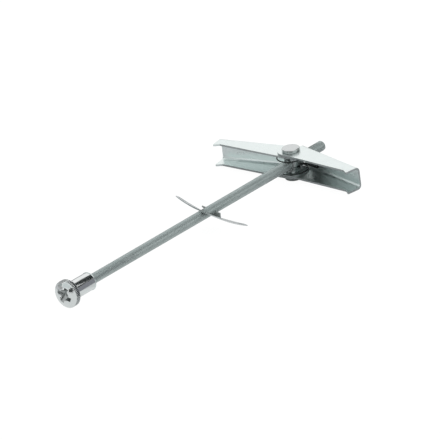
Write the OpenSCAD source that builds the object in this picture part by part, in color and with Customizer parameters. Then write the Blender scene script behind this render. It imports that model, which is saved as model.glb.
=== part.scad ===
// Spring toggle bolt: a threaded rod with a domed sleeve nut, a leaf clip and two sprung wings.
// The rod lies along X from the head to the tip, the hinge pin stands along Z.
// The origin is the middle of the face under the head. Sizes are in millimetres.

/* [Rod] */
// Outer diameter of the thread
rod_d = 4; // [3.4:0.1:4.6]
// Length of the rod
rod_length = 150; // [120:1:220]
// Chamfer at each end of the rod
rod_chamfer = 0.6; // [0.3:0.1:1]
// Length of rod held in the sleeve
rod_grip = 10.7; // [8:0.1:11]
// Length of rod past the middle of the hinge pin
tip_length = 18; // [8:0.1:30]

/* [Sleeve nut] */
// Diameter of the knurled rim
head_d = 11.1; // [10:0.1:14]
// Thickness of the knurled rim
rim_height = 2.5; // [2:0.1:4]
// Height of the dome on the rim
dome_height = 1.5; // [1:0.1:2.4]
// Width of the ledge round the dome
dome_inset = 0.8; // [0.4:0.1:1.2]
// Number of grooves in the rim
knurl_count = 56; // [40:2:60]
// Depth of one groove
knurl_depth = 0.26; // [0.15:0.01:0.28]
// Diameter of the sleeve
sleeve_d = 7.2; // [6:0.1:8.6]
// Length of the sleeve
sleeve_length = 12; // [11:0.1:20]
// Chamfer at the end of the sleeve
sleeve_chamfer = 0.5; // [0.2:0.1:0.8]
// Span of the cross recess
recess_span = 7.4; // [5.6:0.1:7.8]
// Width of a slot of the recess
slot_width = 1.8; // [1.2:0.1:2.2]
// Depth of the recess below the top of the dome
recess_depth = 2.8; // [2:0.1:3.2]
// Turn of the recess about the rod
recess_turn = 63; // [0:1:90]

/* [Leaf clip] */
// Distance from the hinge pin back to the clip
clip_setback = 51.9; // [44:0.1:90]
// Length of the leaf along its arc
clip_length = 34; // [28:0.5:44]
// Width of the leaf at its middle
clip_width = 9.4; // [8.6:0.1:12]
// Width of the leaf at its tips
clip_tip = 2.6; // [1.6:0.1:5]
// Thickness of the leaf
clip_sheet = 0.4; // [0.3:0.05:0.6]
// Radius of the leaf's arch
clip_radius = 84; // [55:1:140]
// Offset of the leaf's middle from the rod
clip_offset = 2.1; // [0:0.1:3]
// Lean of the leaf along the rod
clip_lean = 54; // [35:1:55]
// Turn of the leaf about the rod
clip_turn = 9.4; // [0:0.1:20]
// Reach of the forked tab to each side of the rod
tab_reach = 4.5; // [3.6:0.1:6]
// Height of the tab over the middle of the rod
tab_top = 0.25; // [0:0.05:0.8]
// Height of the slender horn of the tab
tab_horn = 0.6; // [0.4:0.05:1]

/* [Hinge pin] */
// Diameter of the barrel round the rod
barrel_d = 6; // [5:0.1:7]
// Diameter of the necks in the ears
neck_d = 4.2; // [3.4:0.1:5]
// Diameter of the rivet heads
rivet_d = 7; // [5.8:0.1:8]
// Thickness of the rivet heads
rivet_height = 1.3; // [0.9:0.05:2]
// Rounding of the rivet heads
rivet_round = 0.4; // [0.2:0.05:0.8]

/* [Wings] */
// Thickness of the sheet
sheet = 0.75; // [0.6:0.05:0.9]
// Height of the channel over its flanges
channel_height = 9.1; // [7.6:0.1:11]
// Radius of the bends on their outside
bend_radius = 1.8; // [1.3:0.05:2]
// Radius of the ears round the pin
ear_radius = 4.5; // [4.1:0.1:5.4]
// Shift of the ears past the pin
ear_shift = 1; // [0:0.1:1.2]
// Gap between an ear's radius and the web
web_gap = 1.8; // [1.75:0.05:2.4]
// Lean of the web to the front edge
web_angle = 12.5; // [10:0.1:14]
// Length of a wing from the pin to its tip
wing_length = 34.4; // [30:0.1:38]
// Widening of a flange from the pin to its tip
flange_flare = 1.1; // [0:0.1:2]
// Reach of the tooth at the tip of a flange
tooth_reach = 1.5; // [0.6:0.1:2.4]
// Width of the tooth at its root
tooth_width = 2.4; // [1.4:0.1:3.5]

/* [Torsion spring] */
// Diameter of the wire
wire_d = 0.5; // [0.35:0.05:0.6]
// Gap between the middle of the wire and the webs
coil_inset = 0.6; // [0.5:0.05:1.6]
// Place of the bridge along the web
bridge_place = 8; // [6.5:0.1:12]

/* [Hidden] */

zinc = [0.72, 0.75, 0.76];
bright = [0.80, 0.82, 0.83];
dark = [0.10, 0.12, 0.11];

// Smoothness of round shapes and the reach of cuts that go right through
fine = 72;
coarse = 28;
through = 4 * wing_length;

// Clearances of the fits
running_gap = 0.05;
ear_gap = 0.1;
rivet_gap = 0.07;
rod_end_gap = 1;
window_gap = 0.325;
wire_gap = 0.04;

// Places along the rod
rod_r = rod_d / 2;
bore_r = rod_r + running_gap;
rod_start = sleeve_length - rod_grip;
bore_floor = rod_start - rod_end_gap;
toggle_place = rod_start + rod_length - tip_length;
clip_place = toggle_place - clip_setback;

// Sleeve nut
head_r = head_d / 2;
sleeve_r = sleeve_d / 2;
rim_edge = 0.3;
dome_foot = head_r - dome_inset;
dome_r = (pow(dome_foot, 2) + pow(dome_height, 2)) / (2 * dome_height);
head_top = rim_height + dome_height;
recess_slope = 0.54;
recess_lip = 0.9;
recess_floor = 1.8;

// Leaf clip, with its tab just past the hole in the leaf
leaf_half = clip_length / 2;
leaf_taper = (clip_width - clip_tip) / 2;
leaf_side_r = (pow(leaf_half, 2) + pow(leaf_taper, 2)) / (2 * leaf_taper);
tab_gap = 0.45;
tab_place = bore_r * tan(clip_lean) + tab_gap;
tab_foot = -tab_place / tan(clip_lean);
tab_spread = 0.3;
tab_side = 0.75;

// Stack of the ears, with the right wing's above the left wing's
stack = (sheet + ear_gap) / 2;
ear_under = channel_height / 2 - stack - sheet;
ear_over = channel_height / 2 + stack;
barrel_half = ear_under - ear_gap;
rivet_under = ear_over + rivet_gap;

// Wings
web_inside = ear_radius + web_gap;
web_offset = web_inside + sheet;
window_half = rod_r + stack + window_gap;
window_end = 0.4;
flange_root = 0.6;
edge_inset = 0.1;
tooth_blunt = 0.3;
tip_lean = 9.05;

// Coils between the rod and the ears, one flat turn where there is room for no more
wire_r = wire_d / 2;
wire_trim = 0.02;
coil_r = web_inside - coil_inset;
coil_start = rod_r + wire_r + wire_gap;
coil_room = ear_under - wire_gap - wire_r - coil_start;
coil_pitch = min(wire_d + 2 * wire_gap, coil_room * 0.8);
coil_doubles = coil_pitch > wire_d;
coil_close = coil_doubles ? 180 : 140;
coil_end = 80;
coil_tilt = atan(coil_pitch / 4 / coil_r);

// Arms of the spring and the bridge that bears on the right wing's web
bridge_offset = web_inside - wire_r - wire_gap;
bridge_reach = sqrt(pow(bridge_offset, 2) + pow(bridge_place, 2));
bridge_turn = acos(coil_r / bridge_reach) - atan(bridge_place / bridge_offset);
arm_bend = 0.7;
arm_length = sqrt(pow(bridge_reach, 2) - pow(coil_r, 2)) - arm_bend;

// Threaded rod, drawn over its crests.
module threaded_rod() {
    color(zinc)
    translate([rod_start, 0, 0])
    rotate([0, 90, 0])
    union() {
        cylinder(r1 = rod_r - rod_chamfer, r2 = rod_r, h = rod_chamfer, $fn = fine);
        translate([0, 0, rod_chamfer])
        cylinder(r = rod_r, h = rod_length - 2 * rod_chamfer, $fn = fine);
        translate([0, 0, rod_length - rod_chamfer])
        cylinder(r1 = rod_r, r2 = rod_r - rod_chamfer, h = rod_chamfer, $fn = fine);
    }
}

// Half section of the sleeve nut, with the head upward from zero.
module nut_section() {
    polygon([
        [0, -sleeve_length],
        [sleeve_r - sleeve_chamfer, -sleeve_length],
        [sleeve_r, -sleeve_length + sleeve_chamfer],
        [sleeve_r, 0],
        [head_r - rim_edge, 0],
        [head_r, rim_edge],
        [head_r, rim_height - rim_edge],
        [dome_foot, rim_height],
        [0, rim_height]
    ]);
    intersection() {
        translate([0, head_top - dome_r])
        circle(r = dome_r, $fn = 180);
        translate([0, rim_height / 2])
        square([dome_foot, head_top]);
    }
}

// One slot of the cross recess, with steep ends that fall to a short floor.
module recess_slot() {
    over = rim_edge;
    top = recess_span / 2 + over * recess_slope;
    lip = recess_span / 2 - recess_lip * recess_slope;
    rotate([90, 0, 0])
    linear_extrude(slot_width, center = true)
    polygon([
        [-top, head_top + over],
        [-lip, head_top - recess_lip],
        [-recess_floor / 2, head_top - recess_depth],
        [recess_floor / 2, head_top - recess_depth],
        [lip, head_top - recess_lip],
        [top, head_top + over]
    ]);
}

module cross_recess() {
    rotate([0, 0, recess_turn])
    union() {
        recess_slot();
        rotate([0, 0, 90])
        recess_slot();
        translate([0, 0, head_top - recess_depth])
        cylinder(r1 = slot_width * 0.6, r2 = slot_width * 1.4, h = recess_depth, $fn = coarse);
    }
}

// Straight grooves round the rim.
module knurl() {
    outside = 0.2;
    flank = (knurl_depth + outside) * 0.8;
    for (i = [0 : knurl_count - 1])
        rotate([0, 0, i * 360 / knurl_count])
        translate([head_r, 0, -outside])
        linear_extrude(rim_height + outside)
        polygon([
            [-knurl_depth, 0],
            [outside, -flank],
            [outside, flank]
        ]);
}

module sleeve_nut() {
    color(bright)
    rotate([0, -90, 0])
    difference() {
        rotate_extrude($fn = 96)
        nut_section();
        knurl();
        cross_recess();
        translate([0, 0, -2 * sleeve_length])
        cylinder(r = bore_r, h = 2 * sleeve_length - bore_floor, $fn = fine);
    }
}

// Arched leaf with its normal along X and its length along Y.
module leaf() {
    sweep = clip_length / clip_radius * 180 / PI;
    intersection() {
        translate([clip_radius, 0, 0])
        rotate([0, 0, 180 - sweep / 2])
        rotate_extrude(angle = sweep, $fn = 240)
        translate([clip_radius - clip_sheet / 2, -clip_width / 2])
        square([clip_sheet, clip_width]);
        leaf_side(1);
        leaf_side(-1);
    }
}

// Round that bounds one long side of the leaf and narrows it to its tips.
module leaf_side(way) {
    translate([0, 0, way * (leaf_side_r - clip_width / 2)])
    rotate([0, 90, 0])
    cylinder(r = leaf_side_r, h = clip_length, center = true, $fn = 240);
}

// Forked tab bent up square to the rod, with one full horn and one slender horn beside the rod.
module tab() {
    translate([tab_place - clip_sheet / 2, 0, 0])
    rotate([90, 0, 90])
    linear_extrude(clip_sheet)
    polygon([
        [-tab_reach, tab_top],
        [-tab_reach - tab_spread, tab_foot],
        [bore_r, tab_foot],
        [bore_r + tab_side, tab_top - 1.2 * tab_horn],
        [tab_reach, tab_top - tab_horn],
        [tab_reach, tab_top]
    ]);
}

module spring_clip() {
    color(bright)
    translate([clip_place, 0, 0])
    difference() {
        rotate([clip_turn, 0, 0])
        union() {
            rotate([0, -clip_lean, 0])
            translate([0, -clip_offset, 0])
            leaf();
            tab();
        }
        rotate([0, 90, 0])
        cylinder(r = bore_r, h = 2 * clip_length, center = true, $fn = fine);
    }
}

// Half section of a rivet head with a rounded edge.
module rivet_section() {
    square([rivet_d / 2 - rivet_round, rivet_height]);
    square([rivet_d / 2, rivet_height - rivet_round]);
    translate([rivet_d / 2 - rivet_round, rivet_height - rivet_round])
    circle(r = rivet_round, $fn = coarse);
}

// Barrel tapped across for the rod, with necks and rivet heads in one turned pin.
module trunnion() {
    neck_half = rivet_under + rivet_height / 2;
    color(bright)
    translate([toggle_place, 0, 0])
    difference() {
        union() {
            cylinder(r = barrel_d / 2, h = 2 * barrel_half, center = true, $fn = fine);
            cylinder(r = neck_d / 2, h = 2 * neck_half, center = true, $fn = fine);
            translate([0, 0, rivet_under])
            rotate_extrude($fn = fine)
            rivet_section();
            mirror([0, 0, 1])
            translate([0, 0, rivet_under])
            rotate_extrude($fn = fine)
            rivet_section();
        }
        rotate([0, 90, 0])
        cylinder(r = bore_r, h = 2 * barrel_d, center = true, $fn = fine);
    }
}

// Open channel seen along the wing: reach is to the web, half is the half height.
module channel_face(reach, half, corner) {
    translate([-through, -half])
    square([through + reach - corner, 2 * half]);
    translate([-through, -half + corner])
    square([through + reach, 2 * half - 2 * corner]);
    translate([reach - corner, half - corner])
    circle(r = corner, $fn = 48);
    translate([reach - corner, -half + corner])
    circle(r = corner, $fn = 48);
}

module channel() {
    rotate([0, 0, web_angle])
    rotate([90, 0, 0])
    linear_extrude(through, center = true)
    difference() {
        channel_face(web_offset, channel_height / 2, bend_radius);
        channel_face(web_inside, channel_height / 2 - sheet, bend_radius - sheet);
    }
}

// Outline of a wing from above, with a tooth at the tip and a tip that leans outward to the web.
module wing_outline() {
    tip_edge = -ear_radius - flange_flare;
    tooth = tip_edge - tooth_reach;
    back = 2 * web_offset;
    tip = wing_length - 1;
    polygon([
        [edge_inset - ear_radius, -flange_root],
        [tip_edge, tip - tooth_width],
        [tooth, tip - tooth_blunt],
        [tooth + tooth_blunt, tip],
        [back, tip + (back - tooth) * tan(tip_lean)],
        [back, flange_root],
        [0, flange_root]
    ]);
}

// Cut-out in the root of the web, which lets the rod and the barrel through.
module web_window() {
    rotate([0, 0, web_angle])
    translate([ear_radius, 0, 0])
    rotate([0, 90, 0])
    union() {
        translate([0, window_end, 0])
        cylinder(r = window_half, h = web_offset, $fn = fine);
        translate([-window_half, -wing_length, 0])
        cube([2 * window_half, wing_length + window_end, web_offset]);
    }
}

// One stamped wing along Y with its pin at the origin.
module wing() {
    difference() {
        intersection() {
            channel();
            union() {
                translate([0, -ear_shift, 0])
                cylinder(r = ear_radius, h = 2 * channel_height, center = true, $fn = fine);
                linear_extrude(2 * channel_height, center = true)
                wing_outline();
            }
        }
        cylinder(r = neck_d / 2 + running_gap, h = 2 * channel_height, center = true, $fn = fine);
        web_window();
    }
}

module left_wing() {
    color(zinc)
    translate([toggle_place, 0, -stack])
    wing();
}

module right_wing() {
    color(zinc)
    translate([toggle_place, 0, stack])
    rotate([180, 0, 0])
    wing();
}

// Arc of wire in the plane of the coil, a hair short at both ends.
module wire_arc(radius, sweep, steps) {
    trim = wire_trim / radius * 180 / PI;
    rotate([0, 0, trim])
    rotate_extrude(angle = sweep - 2 * trim, $fn = steps)
    translate([radius, 0])
    circle(r = wire_r, $fn = 16);
}

// Straight length of wire upward, a hair short at both ends.
module wire_length(length) {
    translate([0, 0, wire_trim])
    cylinder(r = wire_r, h = length - 2 * wire_trim, $fn = 16);
}

// Bead that joins two lengths of wire.
module wire_joint() {
    sphere(r = wire_r * 1.04, $fn = 20);
}

// Turns of the upper coil, each half turn a tilted arc.
module coil() {
    tilted_r = coil_r / cos(coil_tilt);
    translate([0, 0, coil_start + coil_pitch / 4])
    rotate([0, coil_tilt, 0])
    wire_arc(tilted_r, 180, 60);
    translate([-coil_r, 0, coil_start + coil_pitch / 2])
    wire_joint();
    translate([0, 0, coil_start + coil_pitch * 3 / 4])
    rotate([0, -coil_tilt, 0])
    rotate([0, 0, 180])
    wire_arc(tilted_r, coil_close, 60);
    if (coil_doubles) {
        translate([coil_r, 0, coil_start + coil_pitch])
        wire_joint();
        translate([0, 0, coil_start + coil_pitch * 5 / 4])
        rotate([0, coil_tilt, 0])
        wire_arc(tilted_r, coil_end, 60);
    }
}

// Upper coil, its arm to the web of the right wing and the bend to the bridge.
module half_spring() {
    coil();
    translate([coil_r, 0, coil_start])
    wire_joint();
    translate([coil_r, 0, coil_start])
    rotate([90, 0, 0])
    wire_length(arm_length);
    translate([coil_r, -arm_length, coil_start])
    wire_joint();
    translate([coil_r, -arm_length, coil_start - arm_bend])
    rotate([0, -90, 0])
    rotate([0, 0, 270])
    wire_arc(arm_bend, 90, 32);
    translate([coil_r, -arm_length - arm_bend, coil_start - arm_bend])
    wire_joint();
}

module torsion_spring() {
    color(dark)
    translate([toggle_place, 0, 0])
    rotate([0, 0, bridge_turn - web_angle])
    union() {
        half_spring();
        mirror([0, 0, 1])
        half_spring();
        translate([coil_r, -arm_length - arm_bend, arm_bend - coil_start])
        wire_length(2 * (coil_start - arm_bend));
    }
}

threaded_rod();
sleeve_nut();
spring_clip();
trunnion();
left_wing();
right_wing();
torsion_spring();
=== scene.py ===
"""Looks of the spring toggle bolt: cut thread, sleeve lip, rounded edges, plating with painted shade,
stage and camera.
"""
import math

import bmesh
import bpy
from mathutils import Matrix, Vector


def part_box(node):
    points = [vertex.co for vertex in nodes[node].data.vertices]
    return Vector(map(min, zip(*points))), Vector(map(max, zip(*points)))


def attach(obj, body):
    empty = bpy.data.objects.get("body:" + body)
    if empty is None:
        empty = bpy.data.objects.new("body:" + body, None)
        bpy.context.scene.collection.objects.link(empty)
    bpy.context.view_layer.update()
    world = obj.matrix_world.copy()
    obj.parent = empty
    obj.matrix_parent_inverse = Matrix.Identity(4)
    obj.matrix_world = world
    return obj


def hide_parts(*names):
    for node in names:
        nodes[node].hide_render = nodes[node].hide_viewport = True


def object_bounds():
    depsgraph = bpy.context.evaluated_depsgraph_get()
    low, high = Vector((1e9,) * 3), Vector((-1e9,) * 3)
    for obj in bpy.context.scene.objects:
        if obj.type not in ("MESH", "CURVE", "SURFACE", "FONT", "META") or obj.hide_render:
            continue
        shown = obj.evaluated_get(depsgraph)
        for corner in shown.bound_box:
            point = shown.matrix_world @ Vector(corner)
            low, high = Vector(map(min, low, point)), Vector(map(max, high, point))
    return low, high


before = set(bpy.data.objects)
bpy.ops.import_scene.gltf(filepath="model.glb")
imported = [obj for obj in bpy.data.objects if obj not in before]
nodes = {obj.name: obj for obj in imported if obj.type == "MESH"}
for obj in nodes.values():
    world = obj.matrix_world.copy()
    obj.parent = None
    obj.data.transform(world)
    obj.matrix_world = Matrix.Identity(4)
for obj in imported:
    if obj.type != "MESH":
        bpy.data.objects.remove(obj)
cad_low, cad_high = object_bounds()

# Lengths are in metres
MM = 0.001

# Thread of the rod: coarse metric pitch with flat crests and roots
PITCH = 0.7 * MM
THREAD_DEPTH = 0.42 * MM
CREST_SHARE = 1 / 8
FLANK_SHARE = 5 / 16
ROOT_SHARE = 1 / 4
THREAD_SIDES = 28
SPARE_TURNS = 2
ROD_CHAMFER = 0.6 * MM

# Lip round the end of the nut's sleeve
SLEEVE_RADIUS = 3.6 * MM
SLEEVE_CHAMFER = 0.5 * MM
LIP_RADIUS = 0.15 * MM
LIP_TURNS = 72
LIP_SIDES = 10

# Rounding of the edges that stamping and turning leave
SHEET_EDGE = 0.09 * MM
LEAF_EDGE = 0.06 * MM
TURNED_EDGE = 0.05 * MM
EDGE_WIDTHS = {
    "left_wing": SHEET_EDGE,
    "right_wing": SHEET_EDGE,
    "spring_clip": LEAF_EDGE,
    "sleeve_nut": TURNED_EDGE,
    "trunnion": TURNED_EDGE,
}
EDGE_SEGMENTS = 2
EDGE_ANGLE = math.radians(32)
FLAT_ANGLE = math.radians(0.3)
WELD_DISTANCE = 0.002 * MM

# Faces with a finish or a painted shade of their own: limits on the direction that a face looks in
WALL_LEAN = 0.3
WALL_END = 0.5
TAB_LEAN = 0.9
GROOVE_LEAN = 0.3
RIVET_LEAN = 0.6

# Faces with a finish or a painted shade of their own: sizes that they lie within
BARREL_HALF = 3.2 * MM
KNURL_BAND = 0.45 * MM
KNURL_SKIN = 0.04 * MM
DOME_RADIUS = 8.27 * MM
RECESS_REACH = 4 * MM
RECESS_DEPTH = 3 * MM
RECESS_SKIN = 0.12 * MM

# Plating: clouds and grain are noise, and a stretch draws the grain out along a piece
CLOUD_SCALE = 260
CLOUD_DETAIL = 4
GRAIN_DETAIL = 3
GRAIN_RELIEF = 0.01 * MM
EVEN_GRAIN = (1, 1, 1)
ROLLED_GRAIN = (1, 0.12, 1)
FINISHES = {
    "plated_sheet": {
        "low_colour": (0.785, 0.85, 0.84),
        "high_colour": (0.845, 0.90, 0.89),
        "roughness": (0.24, 0.34),
        "grain": 900,
        "stretch": ROLLED_GRAIN,
        "bump": 0.10,
    },
    "sheared_edge": {
        "low_colour": (0.36, 0.39, 0.39),
        "high_colour": (0.46, 0.49, 0.49),
        "roughness": (0.34, 0.46),
        "grain": 1500,
        "stretch": EVEN_GRAIN,
        "bump": 0.1,
    },
    "plated_rod": {
        "low_colour": (0.445, 0.495, 0.49),
        "high_colour": (0.52, 0.565, 0.56),
        "roughness": (0.10, 0.18),
        "grain": 1500,
        "stretch": EVEN_GRAIN,
        "bump": 0.1,
        "metal": 0.7,
    },
    "bright_nut": {
        "low_colour": (0.74, 0.77, 0.765),
        "high_colour": (0.80, 0.82, 0.82),
        "roughness": (0.08, 0.15),
        "grain": 1500,
        "stretch": EVEN_GRAIN,
        "bump": 0.05,
    },
    # Painted shade on the flanks of the knurl's grooves and on the rims of the rivet heads
    "groove_and_rim_painted_shade": {
        "low_colour": (0.36, 0.39, 0.385),
        "high_colour": (0.44, 0.47, 0.465),
        "roughness": (0.12, 0.20),
        "grain": 1500,
        "stretch": EVEN_GRAIN,
        "bump": 0.05,
    },
    # Painted shade inside the cross recess: a darker copy of the nut's plating
    "recess_painted_shade": {
        "low_colour": (0.38, 0.40, 0.40),
        "high_colour": (0.46, 0.48, 0.48),
        "roughness": (0.30, 0.40),
        "grain": 1500,
        "stretch": EVEN_GRAIN,
        "bump": 0.05,
    },
    "bright_leaf": {
        "low_colour": (0.62, 0.64, 0.65),
        "high_colour": (0.70, 0.72, 0.73),
        "roughness": (0.10, 0.18),
        "grain": 1200,
        "stretch": ROLLED_GRAIN,
        "bump": 0.06,
    },
    "dull_tab": {
        "low_colour": (0.40, 0.44, 0.43),
        "high_colour": (0.48, 0.52, 0.51),
        "roughness": (0.22, 0.32),
        "grain": 1200,
        "stretch": EVEN_GRAIN,
        "bump": 0.06,
        "metal": 0.3,
    },
    "bright_pin": {
        "low_colour": (0.60, 0.625, 0.625),
        "high_colour": (0.66, 0.68, 0.68),
        "roughness": (0.10, 0.18),
        "grain": 1500,
        "stretch": EVEN_GRAIN,
        "bump": 0.05,
    },
    # Painted shade on the trunnion's barrel between the ears: a darker copy of the pin's plating
    "barrel_painted_shade": {
        "low_colour": (0.26, 0.28, 0.28),
        "high_colour": (0.34, 0.36, 0.36),
        "roughness": (0.12, 0.20),
        "grain": 1500,
        "stretch": EVEN_GRAIN,
        "bump": 0.05,
    },
}

# Painted shade on the middle of the leaf beside the rod: it fades out between two distances to the side
# of the rod's axis
LEAF_PAINTED_SHADE = (0.32, 0.35, 0.345)
LEAF_SHADE_NEAR = 3 * MM
LEAF_SHADE_FAR = 7 * MM

# Black wire of the spring
WIRE_GRAIN = 2500
WIRE_DETAIL = 2
WIRE_DARK = (0.006, 0.010, 0.009)
WIRE_PALE = (0.020, 0.027, 0.025)
WIRE_ROUGHNESS = 0.32
WIRE_SHINE = 0.4

# Camera: the photograph's angle, with the picture rolled a little
AZIMUTH = math.radians(-47.28)
ELEVATION = math.radians(23.13)
ROLL = math.radians(7.2)
LOOK_AT = Vector((107.58, 17.27, -16.81)) * MM
VIEW_WIDTH = 167.8 * MM
CAMERA_DISTANCE = 900 * MM
CLIP_START = 10 * MM
CLIP_END = 10

# Floor and room
WHITE = (1, 1, 1, 1)
FLOOR_GAP = 0.02 * MM
FLOOR_HALF = 1.5
FLOOR_EVEN = 0.88
FLOOR_GLOW = 1.10
FLOOR_SHADE = (0.47, 0.48, 0.49, 1)
ROOM_LIGHT = 0.75
ROOM_SEEN = 1

# Lamps, placed from the point that the camera looks at
LAMP_SIZE = 0.7
KEY_PLACE = Vector((0.25, 0.35, 0.75))
KEY_POWER = 4
FILL_PLACE = Vector((0.15, -0.90, 0.12))
FILL_POWER = 8

# Far cards: each reaches from one direction to another, as seen from the part
CARD_DISTANCE = 1.2
SIDE_CARDS = {
    "upper_card": {
        "first": (0.676, 0.20, 0.71),
        "second": (0.676, -0.58, 0.45),
        "breadth": 0.5,
        "shade": (0.03, 0.035, 0.035),
    },
    "left_card": {
        "first": (-0.45, 0.90, 0.02),
        "second": (-0.15, 0.98, 0.02),
        "breadth": 0.5,
        "shade": (0.33, 0.33, 0.33),
    },
    "far_left_card": {
        "first": (-0.78, 0.62, 0.06),
        "second": (-0.46, 0.885, 0.06),
        "breadth": 0.42,
        "shade": (0.42, 0.42, 0.42),
    },
    "side_card": {
        "first": (-0.12, 0.91, 0.40),
        "second": (-0.62, 0.68, 0.38),
        "breadth": 0.7,
        "shade": (0.37, 0.42, 0.42),
    },
    "corner_card": {
        "first": (-0.66, 0.64, 0.38),
        "second": (-0.93, 0.02, 0.38),
        "breadth": 0.5,
        "shade": (0.68, 0.73, 0.73),
    },
    "front_card": {
        "first": (-0.40, -0.85, 0.36),
        "second": (-0.90, -0.30, 0.36),
        "breadth": 0.5,
        "shade": (0.13, 0.135, 0.135),
    },
    "low_card": {
        "first": (-0.93, -0.36, 0.17),
        "second": (-0.99, 0.05, 0.17),
        "breadth": 0.32,
        "shade": (0.05, 0.055, 0.055),
    },
}
TOP_CARD = {
    "first": (-0.60, 0.42, 0.68),
    "second": (0.05, 0.0, 1.0),
    "breadth": 0.75,
    "shade": (0.38, 0.39, 0.39),
}

# Near cards: two stand beside the part, and two sheets of paper lie under it
NUT_CARD_LOW = Vector((5, -16, -6)) * MM
NUT_CARD_HIGH = Vector((45, -16, 12.5)) * MM
NUT_CARD_SHADE = (0.24, 0.245, 0.27)
WINDOW_CARD_LOW = Vector((143, -6, -4)) * MM
WINDOW_CARD_HIGH = Vector((143, 6, 4.4)) * MM
WINDOW_CARD_SHADE = (0.20, 0.21, 0.21)
PAPER_START = -200 * MM
PAPER_SEAM = 17 * MM
PAPER_END = 112 * MM
PAPER_HALF = 35 * MM
NUT_PAPER_SHADE = (0.76, 0.78, 0.78)
ROD_PAPER_SHADE = (0.66, 0.68, 0.68)


def new_object(name, bm):
    """Makes an object from a bmesh and frees the bmesh."""
    mesh = bpy.data.meshes.new(name)
    bm.to_mesh(mesh)
    bm.free()
    made = bpy.data.objects.new(name, mesh)
    bpy.context.scene.collection.objects.link(made)
    return made


def smooth_with_edges(mesh, angle=EDGE_ANGLE):
    """Smooth shading that keeps edges sharper than the angle."""
    for polygon in mesh.polygons:
        polygon.use_smooth = True
    mesh.set_sharp_from_angle(angle=angle)


# Pieces

def thread_point(step, offset, radius, first):
    """A point on the helix, a number of steps from the first one."""
    angle = 2 * math.pi * step / THREAD_SIDES
    along = first + PITCH * step / THREAD_SIDES + offset
    return Vector((along, radius * math.cos(angle), radius * math.sin(angle)))


def wind_thread(bm, low, high):
    """Winds the profile of the thread round the rod, with spare turns past both ends."""
    crest = high.z
    root = crest - THREAD_DEPTH
    flank = FLANK_SHARE * PITCH
    profile = [
        (0, crest),
        (CREST_SHARE * PITCH, crest),
        (CREST_SHARE * PITCH + flank, root),
        (CREST_SHARE * PITCH + flank + ROOT_SHARE * PITCH, root),
    ]
    first = low.x - SPARE_TURNS * PITCH
    turns = math.ceil((high.x - low.x) / PITCH) + 2 * SPARE_TURNS
    steps = turns * THREAD_SIDES
    grid = [
        [bm.verts.new(thread_point(step, offset, radius, first)) for offset, radius in profile]
        for step in range(steps + 1)
    ]
    for step in range(steps):
        for column in range(len(profile)):
            after = column + 1
            shift = 0
            if after == len(profile):
                after = 0
                shift = THREAD_SIDES
            if step + 1 + shift > steps:
                continue
            bm.faces.new((
                grid[step][column],
                grid[step + shift][after],
                grid[step + 1 + shift][after],
                grid[step + 1][column],
            ))


def chamfer_ends(bm, low, high):
    """Draws the thread in towards the axis at both ends of the rod."""
    for vert in bm.verts:
        end_distance = min(vert.co.x - low.x, high.x - vert.co.x)
        limit = high.z - ROD_CHAMFER + end_distance
        radius = math.hypot(vert.co.y, vert.co.z)
        if radius > limit:
            vert.co.y *= limit / radius
            vert.co.z *= limit / radius


def cut_thread():
    """The rod with its helical thread, cut square at both ends and chamfered."""
    low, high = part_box("threaded_rod")
    bm = bmesh.new()
    wind_thread(bm, low, high)
    for place, way in ((low.x, 1), (high.x, -1)):
        everything = bm.verts[:] + bm.edges[:] + bm.faces[:]
        bmesh.ops.bisect_plane(
            bm, geom=everything, plane_co=(place, 0, 0), plane_no=(way, 0, 0), clear_inner=True
        )
    chamfer_ends(bm, low, high)
    bmesh.ops.remove_doubles(bm, verts=bm.verts[:], dist=WELD_DISTANCE)
    open_edges = [edge for edge in bm.edges if edge.is_boundary]
    bmesh.ops.holes_fill(bm, edges=open_edges, sides=0)
    bmesh.ops.recalc_face_normals(bm, faces=bm.faces[:])
    made = new_object("cut_thread", bm)
    smooth_with_edges(made.data)
    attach(made, "rod")
    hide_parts("threaded_rod")
    return made


def turn_lip():
    """A burnished lip round the end of the sleeve, turned as a bead half sunk in it."""
    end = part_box("sleeve_nut")[1].x - SLEEVE_CHAMFER - LIP_RADIUS
    bm = bmesh.new()
    rings = []
    for turn in range(LIP_TURNS):
        angle = 2 * math.pi * turn / LIP_TURNS
        ring = []
        for side in range(LIP_SIDES):
            around = 2 * math.pi * side / LIP_SIDES
            radius = SLEEVE_RADIUS + LIP_RADIUS * math.cos(around)
            along = end + LIP_RADIUS * math.sin(around)
            ring.append(bm.verts.new((along, radius * math.cos(angle), radius * math.sin(angle))))
        rings.append(ring)
    for turn in range(LIP_TURNS):
        here, there = rings[turn - 1], rings[turn]
        for side in range(LIP_SIDES):
            bm.faces.new((here[side - 1], here[side], there[side], there[side - 1]))
    bmesh.ops.recalc_face_normals(bm, faces=bm.faces[:])
    made = new_object("sleeve_lip", bm)
    smooth_with_edges(made.data, math.pi)
    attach(made, "nut")
    return made


def soften(node, width):
    """Rounds the sharp edges of a CAD node."""
    weld = node.modifiers.new("weld", "WELD")
    weld.merge_threshold = WELD_DISTANCE
    flat = node.modifiers.new("flat", "DECIMATE")
    flat.decimate_type = "DISSOLVE"
    flat.angle_limit = FLAT_ANGLE
    bevel = node.modifiers.new("edge", "BEVEL")
    bevel.width = width
    bevel.segments = EDGE_SEGMENTS
    bevel.limit_method = "ANGLE"
    bevel.angle_limit = EDGE_ANGLE
    bevel.harden_normals = True


# Materials

def shader(name):
    """A new material with its node tree and its main shader."""
    material = bpy.data.materials.new(name)
    material.use_nodes = True
    tree = material.node_tree
    return material, tree, tree.nodes["Principled BSDF"]


def object_place(tree):
    """The place on a piece, which stays with it as it moves."""
    return tree.nodes.new("ShaderNodeTexCoord").outputs["Object"]


def noise(tree, place, scale, detail):
    """Noise from 0 to 1."""
    made = tree.nodes.new("ShaderNodeTexNoise")
    made.inputs["Scale"].default_value = scale
    made.inputs["Detail"].default_value = detail
    tree.links.new(place, made.inputs["Vector"])
    return made.outputs["Fac"]


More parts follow.
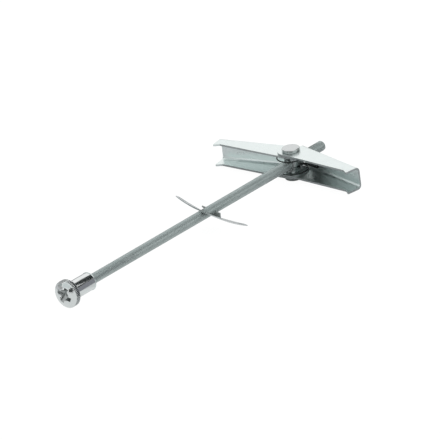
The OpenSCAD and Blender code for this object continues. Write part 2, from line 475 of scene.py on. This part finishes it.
def fade(tree, factor, start):
    """A node that goes from a plain colour at factor 0 to its input B at factor 1."""
    made = tree.nodes.new("ShaderNodeMix")
    made.data_type = "RGBA"
    made.inputs["A"].default_value = (*start, 1)
    tree.links.new(factor, made.inputs["Factor"])
    return made


def plating(name, low_colour, high_colour, roughness, grain, stretch, bump, metal=1):
    """Plated metal: faint clouds in colour, and fine grain in gloss and relief."""
    material, tree, main = shader(name)
    link = tree.links.new
    place = object_place(tree)
    tint = fade(tree, noise(tree, place, CLOUD_SCALE, CLOUD_DETAIL), low_colour)
    tint.inputs["B"].default_value = (*high_colour, 1)
    link(tint.outputs["Result"], main.inputs["Base Color"])
    drawn = tree.nodes.new("ShaderNodeMapping")
    drawn.inputs["Scale"].default_value = stretch
    link(place, drawn.inputs["Vector"])
    fine = noise(tree, drawn.outputs["Vector"], grain, GRAIN_DETAIL)
    gloss = tree.nodes.new("ShaderNodeMapRange")
    gloss.inputs["To Min"].default_value = roughness[0]
    gloss.inputs["To Max"].default_value = roughness[1]
    link(fine, gloss.inputs["Value"])
    link(gloss.outputs["Result"], main.inputs["Roughness"])
    relief = tree.nodes.new("ShaderNodeBump")
    relief.inputs["Strength"].default_value = bump
    relief.inputs["Distance"].default_value = GRAIN_RELIEF
    link(fine, relief.inputs["Height"])
    link(relief.outputs["Normal"], main.inputs["Normal"])
    main.inputs["Metallic"].default_value = metal
    main.inputs["Specular Tint"].default_value = WHITE
    return material


def paint_shade_beside_rod(material, colour, near, far):
    """Paints shade on a plated piece beside the rod and fades back to its plating further out."""
    tree = material.node_tree
    link = tree.links.new
    base = tree.nodes["Principled BSDF"].inputs["Base Color"]
    plain = base.links[0].from_socket
    axes = tree.nodes.new("ShaderNodeSeparateXYZ")
    link(object_place(tree), axes.inputs["Vector"])
    beside = tree.nodes.new("ShaderNodeMath")
    beside.operation = "ABSOLUTE"
    link(axes.outputs["Y"], beside.inputs[0])
    reach = tree.nodes.new("ShaderNodeMapRange")
    reach.inputs["From Min"].default_value = near
    reach.inputs["From Max"].default_value = far
    link(beside.outputs["Value"], reach.inputs["Value"])
    faded = fade(tree, reach.outputs["Result"], colour)
    link(plain, faded.inputs["B"])
    link(faded.outputs["Result"], base)


def black_wire():
    """Oil-blacked spring wire with a faint grain."""
    material, tree, main = shader("black_wire")
    grain = noise(tree, object_place(tree), WIRE_GRAIN, WIRE_DETAIL)
    tint = fade(tree, grain, WIRE_DARK)
    tint.inputs["B"].default_value = (*WIRE_PALE, 1)
    tree.links.new(tint.outputs["Result"], main.inputs["Base Color"])
    main.inputs["Roughness"].default_value = WIRE_ROUGHNESS
    main.inputs["Specular IOR Level"].default_value = WIRE_SHINE
    return material


def dress(piece, material):
    """Gives a piece one material."""
    piece.data.materials.clear()
    piece.data.materials.append(material)


def dress_where(piece, material, test):
    """Gives the faces that pass a test a material of their own."""
    piece.data.materials.append(material)
    place = len(piece.data.materials) - 1
    for face in piece.data.polygons:
        if test(face):
            face.material_index = place


# Tests for the faces that have a finish or a painted shade of their own

def axis_distance(face):
    """How far the middle of a face is from the rod's axis."""
    return math.hypot(face.center.y, face.center.z)


def sheared_test(wing):
    """A test for the sheared edges of a wing, at its ends and along the front of its flanges."""
    low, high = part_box("trunnion")
    pin = (low + high) / 2
    walls = [face for face in wing.data.polygons if abs(face.normal.z) < WALL_LEAN]
    web = max(walls, key=lambda face: face.area).normal
    across = web * math.copysign(1, web.x)

    def test(face):
        past_pin = (face.center - pin).dot(across)
        end_on = abs(across.cross(face.normal).z)
        return abs(face.normal.z) < WALL_LEAN and (past_pin < 0 or end_on > WALL_END)

    return test


def recess_test():
    """A test for the faces inside the cross recess, under the skin of the dome."""
    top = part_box("sleeve_nut")[0].x
    dome_middle = Vector((top + DOME_RADIUS, 0, 0))

    def test(face):
        under_dome = (face.center - dome_middle).length < DOME_RADIUS - RECESS_SKIN
        near_top = face.center.x < top + RECESS_DEPTH
        return under_dome and near_top and axis_distance(face) < RECESS_REACH

    return test


def groove_test():
    """A test for the flanks of the grooves round the rim of the head."""
    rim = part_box("sleeve_nut")[1].z

    def test(face):
        depth = rim - axis_distance(face)
        return KNURL_SKIN < depth < KNURL_BAND and abs(face.normal.x) < GROOVE_LEAN

    return test


def on_tab(face):
    """True for the faces of the clip's tab, which stand square to the rod."""
    return abs(face.normal.x) > TAB_LEAN


def on_barrel(face):
    """True for the barrel of the trunnion."""
    return abs(face.center.z) < BARREL_HALF


def on_rivet_rim(face):
    """True for the rims of the rivet heads."""
    return abs(face.center.z) > BARREL_HALF and abs(face.normal.z) < RIVET_LEAN


# Stage

def shader_mix(tree, first, second):
    """A node that goes from one shader to another."""
    made = tree.nodes.new("ShaderNodeMixShader")
    tree.links.new(first, made.inputs[1])
    tree.links.new(second, made.inputs[2])
    return made


def floor_material():
    """Pale floor: a nearly even white to the camera with a faint shadow, and a mid grey elsewhere."""
    material, tree, main = shader("floor")
    link = tree.links.new
    even = tree.nodes.new("ShaderNodeEmission")
    even.inputs["Color"].default_value = WHITE
    even.inputs["Strength"].default_value = FLOOR_GLOW
    lit = tree.nodes.new("ShaderNodeBsdfDiffuse")
    lit.inputs["Color"].default_value = FLOOR_SHADE
    blend = shader_mix(tree, lit.outputs["BSDF"], even.outputs["Emission"])
    blend.inputs["Fac"].default_value = FLOOR_EVEN
    rays = tree.nodes.new("ShaderNodeLightPath")
    final = shader_mix(tree, lit.outputs["BSDF"], blend.outputs["Shader"])
    link(rays.outputs["Is Camera Ray"], final.inputs["Fac"])
    link(final.outputs["Shader"], tree.nodes["Material Output"].inputs["Surface"])
    tree.nodes.remove(main)
    return material


def make_floor():
    """A plain pale floor under the lowest point of the part."""
    bm = bmesh.new()
    bmesh.ops.create_grid(bm, x_segments=1, y_segments=1, size=FLOOR_HALF)
    bmesh.ops.translate(bm, verts=bm.verts[:], vec=(LOOK_AT.x, LOOK_AT.y, cad_low.z - FLOOR_GAP))
    floor = new_object("floor", bm)
    dress(floor, floor_material())


def greater(tree, first, second):
    """The greater of two values."""
    made = tree.nodes.new("ShaderNodeMath")
    made.operation = "MAXIMUM"
    tree.links.new(first, made.inputs[0])
    tree.links.new(second, made.inputs[1])
    return made.outputs["Value"]


def make_world():
    """White surround for the camera and for reflections, and a plain level of light."""
    world = bpy.data.worlds.new("studio")
    bpy.context.scene.world = world
    world.use_nodes = True
    tree = world.node_tree
    link = tree.links.new
    light = tree.nodes["Background"]
    light.inputs["Color"].default_value = WHITE
    light.inputs["Strength"].default_value = ROOM_LIGHT
    surround = tree.nodes.new("ShaderNodeBackground")
    surround.inputs["Color"].default_value = WHITE
    surround.inputs["Strength"].default_value = ROOM_SEEN
    rays = tree.nodes.new("ShaderNodeLightPath").outputs
    seen = greater(tree, rays["Is Camera Ray"], rays["Is Glossy Ray"])
    seen = greater(tree, seen, rays["Is Transmission Ray"])
    final = shader_mix(tree, light.outputs["Background"], surround.outputs["Background"])
    link(seen, final.inputs["Fac"])
    link(final.outputs["Shader"], tree.nodes["World Output"].inputs["Surface"])


def soft_lamp(name, place, power):
    """A square soft lamp that looks at the part and that reflections don't show."""
    data = bpy.data.lights.new(name, "AREA")
    data.size = LAMP_SIZE
    data.energy = power
    lamp = bpy.data.objects.new(name, data)
    lamp.location = LOOK_AT + place
    lamp.rotation_mode = "QUATERNION"
    lamp.rotation_quaternion = (-place).to_track_quat("-Z", "Y")
    lamp.visible_glossy = False
    bpy.context.scene.collection.objects.link(lamp)


def studio_card(name, corners, shade):
    """A card of one even shade that only reflections see."""
    bm = bmesh.new()
    bm.faces.new([bm.verts.new(corner) for corner in corners])
    card = new_object(name, bm)
    material, tree, main = shader(name)
    glow = tree.nodes.new("ShaderNodeEmission")
    glow.inputs["Color"].default_value = (*shade, 1)
    tree.links.new(glow.outputs["Emission"], tree.nodes["Material Output"].inputs["Surface"])
    tree.nodes.remove(main)
    dress(card, material)
    card.visible_camera = False
    card.visible_diffuse = False
    card.visible_shadow = False
    card.visible_transmission = False


def far_card(name, first, second, breadth, shade):
    """A card a good way off, between two directions from the part."""
    start = LOOK_AT + Vector(first).normalized() * CARD_DISTANCE
    end = LOOK_AT + Vector(second).normalized() * CARD_DISTANCE
    side = (end - start).cross(start - LOOK_AT).normalized() * breadth / 2
    studio_card(name, (start - side, end - side, end + side, start + side), shade)


def upright_card(name, low, high, shade):
    """A small card that stands upright near the part."""
    corners = (low, Vector((high.x, high.y, low.z)), high, Vector((low.x, low.y, high.z)))
    studio_card(name, corners, shade)


def laid_card(name, start, end, shade):
    """A card that lies on the floor under a stretch of the rod."""
    level = cad_low.z - FLOOR_GAP / 2
    rim = ((start, -1), (end, -1), (end, 1), (start, 1))
    studio_card(name, [Vector((along, side * PAPER_HALF, level)) for along, side in rim], shade)


def make_cards():
    """The cards that give the metal its light and dark reflections."""
    for name, card in SIDE_CARDS.items():
        far_card(name, **card)
    upright_card("nut_card", NUT_CARD_LOW, NUT_CARD_HIGH, NUT_CARD_SHADE)
    upright_card("window_card", WINDOW_CARD_LOW, WINDOW_CARD_HIGH, WINDOW_CARD_SHADE)
    laid_card("nut_paper", PAPER_START, PAPER_SEAM, NUT_PAPER_SHADE)
    laid_card("rod_paper", PAPER_SEAM, PAPER_END, ROD_PAPER_SHADE)
    far_card("top_card", **TOP_CARD)


def make_camera():
    """A parallel view at the photograph's angle and width."""
    back = Vector((
        math.sin(AZIMUTH) * math.cos(ELEVATION),
        -math.cos(AZIMUTH) * math.cos(ELEVATION),
        math.sin(ELEVATION),
    ))
    level = Vector((math.cos(AZIMUTH), math.sin(AZIMUTH), 0))
    upright = back.cross(level)
    right = level * math.cos(ROLL) - upright * math.sin(ROLL)
    up = level * math.sin(ROLL) + upright * math.cos(ROLL)
    data = bpy.data.cameras.new("camera")
    data.type = "ORTHO"
    data.ortho_scale = VIEW_WIDTH
    data.clip_start = CLIP_START
    data.clip_end = CLIP_END
    camera = bpy.data.objects.new("camera", data)
    turn = Matrix((right, up, back)).transposed().to_4x4()
    camera.matrix_world = Matrix.Translation(LOOK_AT + back * CAMERA_DISTANCE) @ turn
    bpy.context.scene.collection.objects.link(camera)
    bpy.context.scene.camera = camera


# Build

bpy.context.scene.view_settings.view_transform = "Standard"

thread = cut_thread()
lip = turn_lip()
for name, width in EDGE_WIDTHS.items():
    soften(nodes[name], width)

metal = {name: plating(name, **finish) for name, finish in FINISHES.items()}
# Painted shade on the leaf beside the rod
paint_shade_beside_rod(metal["bright_leaf"], LEAF_PAINTED_SHADE, LEAF_SHADE_NEAR, LEAF_SHADE_FAR)

dress(thread, metal["plated_rod"])
dress(lip, metal["plated_sheet"])
dress(nodes["sleeve_nut"], metal["bright_nut"])
# The flanks of the knurl's grooves get painted shade
dress_where(nodes["sleeve_nut"], metal["groove_and_rim_painted_shade"], groove_test())
# The faces inside the cross recess get painted shade
dress_where(nodes["sleeve_nut"], metal["recess_painted_shade"], recess_test())
dress(nodes["spring_clip"], metal["bright_leaf"])
dress_where(nodes["spring_clip"], metal["dull_tab"], on_tab)
dress(nodes["trunnion"], metal["bright_pin"])
# The barrel between the ears gets painted shade
dress_where(nodes["trunnion"], metal["barrel_painted_shade"], on_barrel)
# The rims of the rivet heads get painted shade
dress_where(nodes["trunnion"], metal["groove_and_rim_painted_shade"], on_rivet_rim)
for name in ("left_wing", "right_wing"):
    dress(nodes[name], metal["plated_sheet"])
    dress_where(nodes[name], metal["sheared_edge"], sheared_test(nodes[name]))
dress(nodes["torsion_spring"], black_wire())

make_floor()
make_world()
soft_lamp("key_lamp", KEY_PLACE, KEY_POWER)
soft_lamp("fill_lamp", FILL_PLACE, FILL_POWER)
make_cards()
make_camera()
